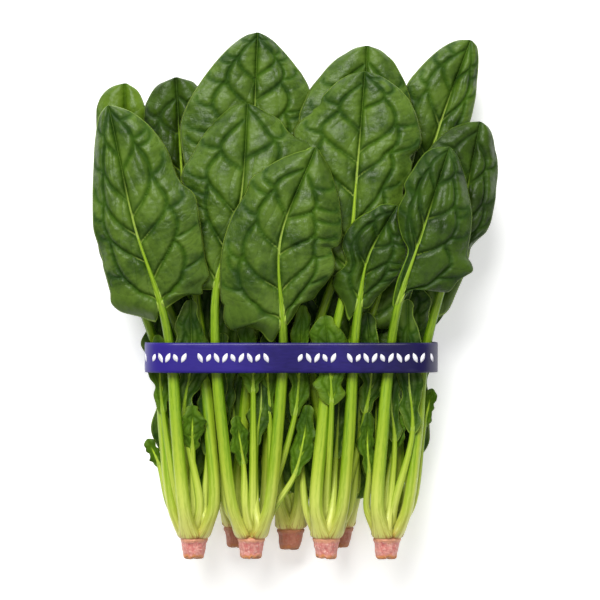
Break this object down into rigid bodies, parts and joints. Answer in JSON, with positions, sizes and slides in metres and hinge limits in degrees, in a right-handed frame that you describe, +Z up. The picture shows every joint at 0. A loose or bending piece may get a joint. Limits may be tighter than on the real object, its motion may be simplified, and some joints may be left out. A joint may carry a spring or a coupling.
{
  "type": "spinach bunch",
  "caption": "Bunch of whole fresh spinach plants with trimmed pink roots, lying flat and held together by a wide printed band.",
  "frame": {"origin": "middle of the band's flat underside, on the surface that the bunch lies on", "axes": "+X to the right as the bunch is seen from above, +Y from the roots to the leaf tips, +Z up from the surface"},
  "size_m": [0.2316, 0.3007, 0.0725],
  "materials": {
    "leaf": "satin",
    "young_leaf": "satin",
    "stalk": "satin",
    "root": "matte",
    "band": "satin"
  },
  "bodies": {
    "root": {"band": "band", "blade_back_far_left": "leaf", "blade_back_left": "leaf", "blade_back_right": "leaf", "blade_core_left": "leaf", "blade_folded_right": "leaf", "blade_front_left": "leaf", "blade_front_middle": "leaf", "blade_front_right": "leaf", "blade_inner_left": "leaf", "blade_inner_right": "leaf", "blade_low_left": "leaf", "blade_low_right": "leaf", "blade_lower_left": "leaf", "blade_lower_right": "leaf", "blade_middle": "leaf", "blade_middle_left": "leaf", "blade_middle_right": "leaf", "blade_outer_left": "leaf", "blade_outer_right": "leaf", "blade_second_left": "leaf", "blade_second_right": "leaf", "blade_tall_left": "leaf", "blade_tall_right": "leaf", "blade_under_left": "leaf", "blade_under_middle": "leaf", "blade_under_right": "leaf", "blade_upper_left": "leaf", "blade_upper_right": "leaf", "root_a": "root", "root_b": "root", "root_c": "root", "root_d": "root", "root_e": "root", "root_f": "root", "root_g": "root", "stalks_a": "stalk", "stalks_b": "stalk", "stalks_c": "stalk", "stalks_d": "stalk", "stalks_e": "stalk", "stalks_f": "stalk", "stalks_g": "stalk", "young_a1": "young_leaf", "young_a2": "young_leaf", "young_a3": "young_leaf", "young_a4": "young_leaf", "young_b1": "young_leaf", "young_b2": "young_leaf", "young_b3": "young_leaf", "young_b4": "young_leaf", "young_c1": "young_leaf", "young_c2": "young_leaf", "young_c3": "young_leaf", "young_d1": "young_leaf", "young_d2": "young_leaf", "young_d3": "young_leaf", "young_d4": "young_leaf"}
  },
  "joints": []
}
